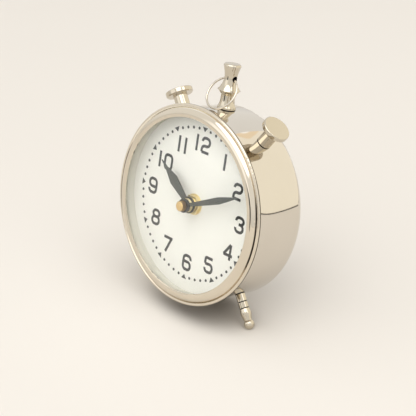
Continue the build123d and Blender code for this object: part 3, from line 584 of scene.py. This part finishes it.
# Pieces with painted shade or highlight, a form of their own, or metal a little unlike the rest of its kind
own_finishes = {
    "case_drum": bright_nickel("drum_nickel", *nickel_tones, form=drum_form),
    "back_cover": bright_nickel("cover_nickel", *nickel_tones, satin=0.16),
    "bezel": bright_nickel("bezel_nickel", *warm_tones, soil_on_rim, shine_in_groove),
    "top_post": bright_nickel("post_nickel", *fitting_tones, soil_in_hole),
    "carry_ring": bright_nickel("ring_nickel", *ring_tones),
    "left_stud": bright_nickel("stud_nickel", *fitting_tones, soil_at_foot),
    "hand_cap_nut": cap_brass(),
    "left_front_leg": bright_nickel("leg_nickel", *fitting_tones, soil_in_grooves),
}
own_finishes["right_stud"] = own_finishes["left_stud"]
own_finishes["rear_foot"] = own_finishes["carry_ring"]
own_finishes["right_front_leg"] = own_finishes["left_front_leg"]
for subpart in frame["record"]["subparts"]:
    mesh = frame["nodes"][subpart["node"]].data
    mesh.materials.clear()
    mesh.materials.append(own_finishes.get(subpart["node"], finishes[subpart["material_slot"]]))

# New pieces are shaded smooth but for edges past this angle, and corners closer than a gap are merged
sharp_angle = radians(30)
weld_gap = 0.002 * MM
fine_weld_gap = 0.001 * MM


def of_kind(parts, kind):
    return [part for part in parts if isinstance(part, kind)]


def finish_piece(bm, name, material, body):
    """Turns a bmesh into a piece of the clock that rides on a body."""
    mesh = bpy.data.meshes.new(name)
    bm.to_mesh(mesh)
    bm.free()
    mesh.shade_smooth()
    mesh.set_sharp_from_angle(angle=sharp_angle)
    mesh.materials.append(material)
    piece = bpy.data.objects.new(name, mesh)
    bpy.context.scene.collection.objects.link(piece)
    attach(piece, body)
    return piece


# Print on the dial: a ring of dots and wedges, and upright numerals drawn with one pen
print_thickness = 0.03 * MM
dot_ring = 40.1 * MM
dot_radius = 0.78 * MM
dot_sides = 20
wedge_width = 3.7 * MM
wedge_height = 2.5 * MM
numeral_height = 9.1 * MM
numeral_width = 6.9 * MM
numeral_stroke = 1.55 * MM
numeral_corner = 2.0 * MM
numeral_bearing = 0.75 * MM
one_bearing = 1.6 * MM
corner_steps = 6

# Middle of each numeral on the dial, in millimetres right and up, from one to twelve
numeral_places = [
    (17.3, 27.9),
    (29.2, 16.0),
    (33.7, -0.2),
    (28.8, -16.2),
    (16.6, -28.1),
    (0.6, -32.3),
    (-15.6, -27.7),
    (-27.3, -16.1),
    (-32.8, 0.0),
    (-25.5, 15.8),
    (-14.9, 27.9),
    (0.2, 32.3),
]

# Strokes of each numeral in a cell one wide and one high, each with how round its corners are
strokes = {
    "0": [(1.0, [(0.5, 1), (1, 1), (1, 0), (0, 0), (0, 1), (0.5, 1)])],
    "1": [(0.0, [(0.5, -0.08), (0.5, 1.08)])],
    "2": [(1.0, [(0, 0.76), (0, 1), (1, 1), (1, 0.47), (0, 0.42), (0, 0)]), (0.0, [(0, 0), (1, 0)])],
    "3": [
        (1.0, [(0, 0.78), (0, 1), (1, 1), (1, 0.53), (0.4, 0.53)]),
        (1.0, [(0.4, 0.53), (1, 0.53), (1, 0), (0, 0), (0, 0.24)]),
    ],
    "4": [
        (0.0, [(0.78, -0.07), (0.78, 1.03)]),
        (0.0, [(0.75, 1.03), (-0.05, 0.25)]),
        (0.0, [(-0.09, 0.26), (1.1, 0.26)]),
    ],
    "5": [(0.0, [(0.95, 1), (0, 1), (0, 0.55)]), (1.0, [(0, 0.55), (1, 0.6), (1, 0), (0, 0), (0, 0.24)])],
    "6": [(1.0, [(1, 0.76), (1, 1), (0, 1), (0, 0), (1, 0), (1, 0.56), (0, 0.56)])],
    "7": [(0.0, [(-0.1, 1), (1.1, 1)]), (0.0, [(1.0, 1.05), (0.3, -0.05)])],
    "8": [
        (1.0, [(0.5, 1), (0.95, 1), (0.95, 0.53), (0.05, 0.53), (0.05, 1), (0.5, 1)]),
        (1.0, [(0.5, 0.53), (1, 0.53), (1, 0), (0, 0), (0, 0.53), (0.5, 0.53)]),
    ],
    "9": [(1.0, [(0, 0.24), (0, 0), (1, 0), (1, 1), (0, 1), (0, 0.44), (1, 0.44)])],
}


def pen_line(bm, points, corner, width):
    """Draws a flat line of a width through points, with its corners rounded to a radius."""
    headings = [(after - before).normalized() for before, after in zip(points, points[1:])]
    side = Vector((-headings[0].y, headings[0].x, 0)) * (width / 2)
    verts = [bm.verts.new(points[0] + side), bm.verts.new(points[0] - side)]
    tip = [*verts, bm.edges.new(verts)]
    cut = 0.0
    for index, heading in enumerate(headings):
        length = (points[index + 1] - points[index]).length - cut
        cut = 0.0
        last = index == len(headings) - 1
        turn = 0.0 if last else heading.xy.angle_signed(headings[index + 1].xy)
        if not last:
            cut = corner * tan(abs(turn) / 2)
        made = bmesh.ops.extrude_edge_only(bm, edges=[tip[2]])["geom"]
        tip = of_kind(made, BMVert) + of_kind(made, BMEdge)
        bmesh.ops.translate(bm, verts=tip[:2], vec=heading * (length - cut))
        if not last:
            middle = (tip[0].co + tip[1].co) / 2
            inward = Vector((heading.y, -heading.x, 0)) * copysign(corner, turn)
            spun = bmesh.ops.spin(
                bm, geom=tip, cent=middle + inward, axis=(0, 0, -1), angle=turn, steps=corner_steps
            )
            tip = of_kind(spun["geom_last"], BMVert) + of_kind(spun["geom_last"], BMEdge)


def draw_numeral(bm, text, centre):
    """Draws the figures of an hour, upright and side by side about a centre."""
    one = (numeral_stroke, one_bearing)
    other = (numeral_width, numeral_bearing)
    advances = [one if figure == "1" else other for figure in text]
    total = sum(width for width, _ in advances)
    total += sum(before + after for (_, before), (_, after) in zip(advances, advances[1:]))
    left = centre.x - total / 2
    for index, (figure, (width, bearing)) in enumerate(zip(text, advances)):
        if index:
            left += advances[index - 1][1] + bearing
        cell = Vector((width - numeral_stroke, numeral_height - numeral_stroke, 0))
        corner = Vector((left + numeral_stroke / 2, centre.y - cell.y / 2, 0))
        for roundness, route in strokes[figure]:
            points = [corner + Vector((x * cell.x, y * cell.y, 0)) for x, y in route]
            pen_line(bm, points, max(roundness * numeral_corner, numeral_stroke / 2), numeral_stroke)
        left += width


def raise_on(bm, where, thickness):
    """Gives a flat drawing its thickness and lays it on a face of the clock."""
    bmesh.ops.remove_doubles(bm, verts=bm.verts, dist=weld_gap)
    made = bmesh.ops.extrude_face_region(bm, geom=bm.faces[:])["geom"]
    bmesh.ops.translate(bm, verts=of_kind(made, BMVert), vec=(0, 0, thickness))
    bmesh.ops.recalc_face_normals(bm, faces=bm.faces)
    bmesh.ops.transform(bm, matrix=where, verts=bm.verts)


def hour_point(hour, radius):
    """Point on the dial at an hour, which may have a part, and at a distance from the middle."""
    turn = radians(30 * hour)
    return Vector((radius * sin(turn), radius * cos(turn), 0))


ink = dial_ink()
numerals = bmesh.new()
for hour, (across, along) in enumerate(numeral_places, start=1):
    draw_numeral(numerals, str(hour), Vector((across, along, 0)) * MM)
raise_on(numerals, dial_place, print_thickness)
finish_piece(numerals, "dial_numerals", ink, "case")

minute_marks = bmesh.new()
for minute in range(60):
    spot = hour_point(minute / 5, dot_ring)
    mark_place = Matrix.Translation(spot) @ Matrix.Rotation(-radians(6 * minute), 4, "Z")
    if minute % 5:
        bmesh.ops.create_circle(
            minute_marks, cap_ends=True, segments=dot_sides, radius=dot_radius, matrix=mark_place
        )
    else:
        half_width = wedge_width / 2
        half_height = wedge_height / 2
        wedge = [(-half_width, half_height, 0), (0, -half_height, 0), (half_width, half_height, 0)]
        minute_marks.faces.new([minute_marks.verts.new(mark_place @ Vector(corner)) for corner in wedge])
raise_on(minute_marks, dial_place, print_thickness)
finish_piece(minute_marks, "dial_minute_marks", ink, "case")


# Mouldings on the back of the movement, drawn as seen from behind: a border, ribs, an arrow about the
# setting knob, and the signs of the battery's ends
mould_height = 0.6 * MM
mould_width = 0.9 * MM
border_half = 26.0 * MM
border_low = -9.6 * MM
border_high = 26.0 * MM
border_corner = 2.5 * MM
rib_heights = (13.0 * MM, 16.0 * MM, 19.0 * MM, 22.0 * MM)
rib_half = 20.0 * MM
arrow_radius = 8.6 * MM
arrow_start = radians(115)
arrow_sweep = radians(130)
arrow_head = 1.5 * MM
sign_place = 21.5 * MM
sign_height = -6.6 * MM
sign_half = 1.6 * MM
arc_steps = 32

movement_back = node_span("movement_cover", forward)[0]
knob_low, knob_high = node_span("setting_knob", rightward)
knob_centre = Vector((-(knob_low + knob_high) / 2, 0, 0))
back_place = place(dial_centre + forward * movement_back, -rightward, -forward)

mouldings = bmesh.new()
border = [
    Vector((0, border_low, 0)),
    Vector((border_half, border_low, 0)),
    Vector((border_half, border_high, 0)),
    Vector((-border_half, border_high, 0)),
    Vector((-border_half, border_low, 0)),
    Vector((0, border_low, 0)),
]
pen_line(mouldings, border, border_corner, mould_width)


def mould_bar(middle, half):
    """A straight bar that reaches as far to either side of its middle."""
    pen_line(mouldings, [middle - half, middle + half], 0.0, mould_width)


for rib in rib_heights:
    mould_bar(Vector((0, rib, 0)), Vector((rib_half, 0, 0)))
for side in (-1, 1):
    mould_bar(Vector((side * sign_place, sign_height, 0)), Vector((sign_half, 0, 0)))
mould_bar(Vector((-sign_place, sign_height, 0)), Vector((0, sign_half, 0)))
arrow_tail = Matrix.Rotation(arrow_start, 4, "Z")
tail_reaches = (arrow_radius - mould_width / 2, arrow_radius + mould_width / 2)
tail = [mouldings.verts.new(knob_centre + arrow_tail @ Vector((reach, 0, 0))) for reach in tail_reaches]
bmesh.ops.spin(
    mouldings,
    geom=[*tail, mouldings.edges.new(tail)],
    cent=knob_centre,
    axis=(0, 0, 1),
    angle=arrow_sweep,
    steps=arc_steps,
)
arrow_point = Matrix.Rotation(arrow_start + arrow_sweep, 4, "Z")
head = [
    (arrow_radius - arrow_head, 0, 0),
    (arrow_radius + arrow_head, 0, 0),
    (arrow_radius, 2 * arrow_head, 0),
]
mouldings.faces.new([mouldings.verts.new(knob_centre + arrow_point @ Vector(corner)) for corner in head])
raise_on(mouldings, back_place, mould_height)
finish_piece(mouldings, "movement_mouldings", finishes["movement_black"], "case")


# Pieces turned about the hands' axle: the glass, a collet and the cap nut
spin_steps = 64


def spin_outline(bm, outline):
    """Spins an outline of radius and height about the hands' axle."""
    corners = [bm.verts.new((radius, 0, height)) for radius, height in outline]
    edges = [bm.edges.new(pair) for pair in zip(corners, corners[1:])]
    bmesh.ops.spin(
        bm, geom=corners + edges, axis=(0, 0, 1), angle=2 * pi, steps=spin_steps, use_merge=True
    )


def set_on_axle(bm, gap):
    """Closes the seams of a turned piece up to a gap, and lays it on the hands' axle."""
    bmesh.ops.remove_doubles(bm, verts=bm.verts, dist=gap)
    bmesh.ops.recalc_face_normals(bm, faces=bm.faces)
    bmesh.ops.transform(bm, matrix=dial_place, verts=bm.verts)


# The glass is spun again, finer than the CAD's, so that what shows through it bends smoothly
glass_thickness = 1.6 * MM
glass_radius = node_span("glass", rightward)[1]
glass_back, glass_apex = node_span("glass", forward)
glass_rise = glass_apex - glass_thickness - glass_back
dome_radius = (glass_radius**2 + glass_rise**2) / (2 * glass_rise)
dome_angle = asin(glass_radius / dome_radius)
dome_steps = 40
glass_steps = 160

domed = bmesh.new()
apex = domed.verts.new((0, 0, glass_apex))
outer_centre = (0, 0, glass_apex - dome_radius)
arc = bmesh.ops.spin(
    domed, geom=[apex], cent=outer_centre, axis=(0, 1, 0), angle=dome_angle, steps=dome_steps
)
inner_rim = bmesh.ops.extrude_vert_indiv(domed, verts=arc["geom_last"])["verts"]
bmesh.ops.translate(domed, verts=inner_rim, vec=(0, 0, -glass_thickness))
inner_centre = (0, 0, glass_apex - glass_thickness - dome_radius)
bmesh.ops.spin(
    domed, geom=inner_rim, cent=inner_centre, axis=(0, 1, 0), angle=-dome_angle, steps=dome_steps
)
section = domed.verts[:] + domed.edges[:]
bmesh.ops.spin(domed, geom=section, axis=(0, 0, 1), angle=2 * pi, steps=glass_steps, use_merge=True)
set_on_axle(domed, weld_gap)
domed_glass = finish_piece(domed, "domed_glass", finishes["clear_glass"], "case")
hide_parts("glass")

# A brass collet is pressed into the hour hand, and shows between the two hands
collet_radius = 3.65 * MM
collet_bore = 2.6 * MM
collet_height = 1.1 * MM
collet_edge = 0.25 * MM
collet_back = node_span("hour_hand", forward)[1]
collet_front = collet_back + collet_height

collet = bmesh.new()
spin_outline(
    collet,
    [
        (collet_bore, collet_back),
        (collet_bore, collet_front),
        (collet_radius - collet_edge, collet_front),
        (collet_radius, collet_front - collet_edge),
        (collet_radius, collet_back),
        (collet_bore, collet_back),
    ],
)
set_on_axle(collet, fine_weld_gap)
finish_piece(collet, "hour_hand_collet", finishes["brass"], "hour_work")

# The cap nut has a turned face with a groove and a dimple, a bore for the screw, and a ridged side
ridge_count = 36
ridge_depth = 0.16 * MM
screw_radius = 1.45 * MM
screw_depth = 1.85 * MM
dimple_floor = 0.3 * MM
dimple_brim = 0.4 * MM
face_groove = 1.6 * MM
face_groove_width = 0.22 * MM
face_groove_depth = 0.1 * MM
core_radius = cap_radius - ridge_depth * 1.4
core_edge = cap_edge * 0.8
shoulder_radius = core_radius * 0.99
shoulder_rise = cap_edge * 0.15

cap = bmesh.new()
spin_outline(
    cap,
    [
        (0, cap_front - face_groove_depth),
        (dimple_floor, cap_front - face_groove_depth),
        (dimple_brim, cap_front),
        (face_groove - face_groove_width, cap_front),
        (face_groove, cap_front - face_groove_depth),
        (face_groove + face_groove_width, cap_front),
        (core_radius - core_edge, cap_front),
        (core_radius, cap_front - core_edge),
        (core_radius, cap_back),
        (screw_radius, cap_back),
        (screw_radius, cap_back + screw_depth),
        (0, cap_back + screw_depth),
    ],
)
lift = Matrix.Translation((0, 0, cap_back))
ridges = bmesh.ops.create_circle(cap, segments=2 * ridge_count, radius=cap_radius, matrix=lift)["verts"]
valley = 1 - ridge_depth / cap_radius
bmesh.ops.scale(cap, vec=(valley, valley, 1), verts=ridges[::2])
foot = dict.fromkeys(edge for vertex in ridges for edge in vertex.link_edges)
wall = bmesh.ops.extrude_edge_only(cap, edges=list(foot))["geom"]
bmesh.ops.translate(cap, verts=of_kind(wall, BMVert), vec=(0, 0, cap_front - cap_edge - cap_back))
shoulder = bmesh.ops.extrude_edge_only(cap, edges=of_kind(wall, BMEdge))["geom"]
brim = of_kind(shoulder, BMVert)
narrowed = shoulder_radius / cap_radius
bmesh.ops.scale(cap, vec=(narrowed, narrowed, 1), verts=brim)
bmesh.ops.translate(cap, verts=brim, vec=(0, 0, shoulder_rise))
set_on_axle(cap, fine_weld_gap)
ridged_cap = finish_piece(cap, "ridged_cap", own_finishes["hand_cap_nut"], "minute_work")
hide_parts("hand_cap_nut")


# Floor, lights and camera
floor_half = 2.5
floor_mesh = bmesh.new()
bmesh.ops.create_grid(floor_mesh, x_segments=1, y_segments=1, size=floor_half)
floor_data = bpy.data.meshes.new("floor")
floor_mesh.to_mesh(floor_data)
floor_mesh.free()
floor = bpy.data.objects.new("floor", floor_data)
bpy.context.scene.collection.objects.link(floor)


def sky_direction(azimuth, elevation):
    """Direction from the clock: azimuth 0 is in front of it, 90 at its right, and elevation is up."""
    turn = radians(azimuth)
    rise = radians(elevation)
    return Vector((sin(turn) * cos(rise), -cos(turn) * cos(rise), sin(rise)))


# One large lamp overhead, as bright as a white sheet at the level given. It lights the dial and the floor,
# and the metal mirrors the lamps of the tent instead of it.
overhead_azimuth = 60.0
overhead_elevation = 64.0
overhead_distance = 2.2
overhead_side = 3.0
overhead_level = 1.32
overhead_colour = (1.0, 0.995, 0.985)

overhead = bpy.data.lights.new("overhead_box", "AREA")
overhead.shape = "SQUARE"
overhead.size = overhead_side
overhead.energy = overhead_level * pi * overhead_side * overhead_side
overhead.color = overhead_colour
overhead_box = bpy.data.objects.new("overhead_box", overhead)
overhead_aim = sky_direction(overhead_azimuth, overhead_elevation)
overhead_box.location = dial_centre + overhead_aim * overhead_distance
overhead_box.rotation_euler = overhead_aim.to_track_quat("Z", "Y").to_euler()
overhead_box.visible_glossy = False
bpy.context.scene.collection.objects.link(overhead_box)

# A pale tent. Its light comes from high in front and low in front, with a little from every other side.
# Each pair is where a soft edge begins and where it ends.
high_light = 0.95
high_azimuth = -15.0
high_lean = 0.3
high_edge = (0.42, 0.75)
low_light = 1.05
low_azimuth = -25.0
low_edge = (0.2, 0.6)
low_top = (0.35, 0.55)
sideways_light = 0.18
tent_colour = (1.0, 0.985, 0.955)

# The backdrop's level in the picture, and the share of light that the dial gains through the glass
backdrop_look = 0.9
glass_gain = 0.09

# What the metal sees of the tent: a dimmer horizon, a bright window at the front left, a dim shape under
# the window, and round lamps
tent_look = 0.98
horizon_look = 0.84
horizon_top = (0.0, 0.2)
window_look = 1.42
window_azimuth = -18.0
window_half_width = 22.0
window_foot = (0.1, 0.16)
window_top = (0.6, 0.68)
shape_look = 0.03
shape_azimuth = -9.0
shape_half_width = 8.0
shape_top = (0.14, 0.2)
edge_softness = 0.2

# Azimuth, elevation, half angle and brightness of each round lamp
seen_lamps = [
    (20.0, 66.0, 28.0, 2.7),
    (105.0, 44.0, 15.0, 2.5),
]
lamp_softness = 3.0


def towards(way, azimuth):
    """How far a direction or a place on the floor lies to an azimuth."""
    across, along, _ = parts_of(way)
    return across * sin(radians(azimuth)) - along * cos(radians(azimuth))


def narrow(way, azimuth, half_width):
    """1 within a half width of an azimuth, as seen from the clock, and 0 outside it."""
    ahead = towards(way, azimuth)
    aside = towards(way, azimuth + 90.0) / ahead.maths("MAXIMUM", ahead, 0.001)
    inside = tan(radians(half_width * (1 - edge_softness)))
    outside = tan(radians(half_width * (1 + edge_softness)))
    return 1 - step(aside.maths("ABSOLUTE", aside), inside, outside)


def mixed(share, first, second):
    """Level that goes from the first to the second as the share goes from 0 to 1."""
    return first + (second - first) * share


def tent_light(way, height):
    """How much light the tent gives from each direction."""
    high = step(height + high_lean * towards(way, high_azimuth), *high_edge)
    low_front = step(towards(way, low_azimuth), *low_edge) * (1 - step(height, *low_top))
    return mixed(high, sideways_light, high_light) + low_light * low_front


def mirrored_tent(way, height):
    """How bright the metal sees the tent in each direction."""
    look = mixed(step(height, *horizon_top), horizon_look, tent_look)
    window = narrow(way, window_azimuth, window_half_width)
    window = window * step(height, *window_foot) * (1 - step(height, *window_top))
    look = mixed(window, look, window_look)
    for azimuth, elevation, half_angle, brightness in seen_lamps:
        sockets = {0: way, 1: sky_direction(azimuth, elevation)}
        facing = way.node("ShaderNodeVectorMath", {"operation": "DOT_PRODUCT"}, sockets, "Value")
        outside = cos(radians(half_angle + lamp_softness))
        inside = cos(radians(half_angle - lamp_softness))
        look = mixed(step(facing, outside, inside), look, brightness)
    shape = narrow(way, shape_azimuth, shape_half_width) * (1 - step(height, *shape_top))
    return mixed(shape, look, shape_look)


def light_tent():
    """Sets up the tent: its light, what metal and glass see of it, and the backdrop in the picture."""
    world = bpy.data.worlds.new("tent")
    bpy.context.scene.world = world
    world.use_nodes = True
    nodes = world.node_tree.nodes
    way = Shade(nodes.new("ShaderNodeTexCoord").outputs["Generated"])
    height = parts_of(way)[2]
    paths = nodes.new("ShaderNodeLightPath").outputs
    level = mixed(Shade(paths["Is Glossy Ray"]), tent_light(way, height), mirrored_tent(way, height))
    level = level * (1 + glass_gain * Shade(paths["Is Transmission Ray"]))
    level = mixed(Shade(paths["Is Camera Ray"]), level, backdrop_look)
    plug(nodes["Background"].inputs["Color"], rgba(tent_colour))
    plug(nodes["Background"].inputs["Strength"], level)


light_tent()

# Pale paper on the floor, with a painted shadow close under the clock. The metal sees it end at the foot of the
# dim shape.
paper_tones = (0.795, 0.754, 0.70), (0.785, 0.745, 0.69)
paper_reach = 0.6
paper_end = 0.648
beyond_tone = (0.16, 0.144, 0.128)
shade_tone = (0.06, 0.05, 0.042)
shade_centre = Vector((5.0, -10.5, 0.0)) * MM
shade_half_length = 43.0 * MM
shade_half_width = 25.0 * MM
shade_depth = 0.5
shade_core = 0.25


def floor_paper():
    material, shader, where = new_material("floor_paper")
    paper = blend(noise(where, 4.0, 2.0), *paper_tones)
    # Painted shadow: the paper darkens towards the shade tone in an ellipse under the clock
    across, along, _ = parts_of(measured_from(where, shade_centre))
    reach = length_of(across / shade_half_length, along / shade_half_width)
    paper = blend(shade_depth * (1 - step(reach, shade_core, 1.0)), paper, shade_tone)
    beyond = narrow(where, shape_azimuth, shape_half_width)
    beyond = beyond * step(towards(where, shape_azimuth), paper_reach, paper_end)
    mirrored = Shade(material.node_tree.nodes.new("ShaderNodeLightPath").outputs["Is Glossy Ray"])
    dress(
        shader,
        {
            "Base Color": blend(beyond * mirrored, paper, beyond_tone),
            "Roughness": 0.8,
            "Specular IOR Level": 0.2,
        },
    )
    return material


floor_data.materials.append(floor_paper())

# A pale card that stands behind the clock at its right, where only the metal sees it. It has a painted
# shadow at its foot, and each band above that begins at a share of its height.
card_azimuth = 135.0
card_distance = 0.45
card_left = 0.70
card_right = 0.32
card_height = 0.62
card_foot = 7.0 * MM
card_foot_shadow_tone = (0.12, 0.11, 0.10)
card_tone = (1.17, 1.10, 0.94)
card_bands = [
    (0.86, (1.12, 0.93, 0.68)),
    (0.95, (1.35, 1.33, 1.27)),
]
band_edge = 0.01


def card_paper():
    """Paper of the card, which is bright by itself, as if it were lit by a lamp of its own."""
    material, shader, where = new_material("card_white")
    height = parts_of(where)[2]
    pale = card_tone
    for share, tone in card_bands:
        pale = blend(step(height, card_height * share, card_height * (share + band_edge)), pale, tone)
    dress(
        # A painted shadow darkens the card's foot
        shader,
        {
            "Base Color": rgba((0.0, 0.0, 0.0)),
            "Roughness": 1.0,
            "Emission Color": blend(step(height, card_foot, card_foot * 1.3), card_foot_shadow_tone, pale),
            "Emission Strength": 1.0,
        },
    )
    return material


def bounce_card():
    bm = bmesh.new()
    bmesh.ops.create_grid(bm, x_segments=1, y_segments=1, size=0.5)
    bmesh.ops.scale(bm, vec=(card_left + card_right, card_height, 1), verts=bm.verts)
    bmesh.ops.translate(bm, vec=((card_left - card_right) / 2, card_height / 2, 0), verts=bm.verts)
    out = sky_direction(card_azimuth, 0.0)
    stand = place(out * card_distance, Vector((0, 0, 1)).cross(out), out)
    bmesh.ops.transform(bm, matrix=stand, verts=bm.verts)
    mesh = bpy.data.meshes.new("bounce_card")
    bm.to_mesh(mesh)
    bm.free()
    mesh.materials.append(card_paper())
    card = bpy.data.objects.new("bounce_card", mesh)
    card.visible_camera = False
    card.visible_diffuse = False
    card.visible_shadow = False
    bpy.context.scene.collection.objects.link(card)


bounce_card()

# The camera stands to the right of the dial and above it, with a long lens
camera_azimuth = 47.36
camera_elevation = 25.07
camera_distance = 0.71675
camera_aim = Vector((5.17, -5.55, 56.49)) * MM
sensor_width = 36.0
focal_pixels = 1375.0
image_pixels = 416.0
lens = bpy.data.cameras.new("camera")
lens.sensor_width = sensor_width
lens.lens = sensor_width * focal_pixels / image_pixels
camera = bpy.data.objects.new("camera", lens)
view_back = sky_direction(camera_azimuth, camera_elevation)
camera.location = camera_aim + view_back * camera_distance
camera.rotation_euler = view_back.to_track_quat("Z", "Y").to_euler()
bpy.context.scene.collection.objects.link(camera)
bpy.context.scene.camera = camera
bpy.context.scene.view_settings.view_transform = "Standard"
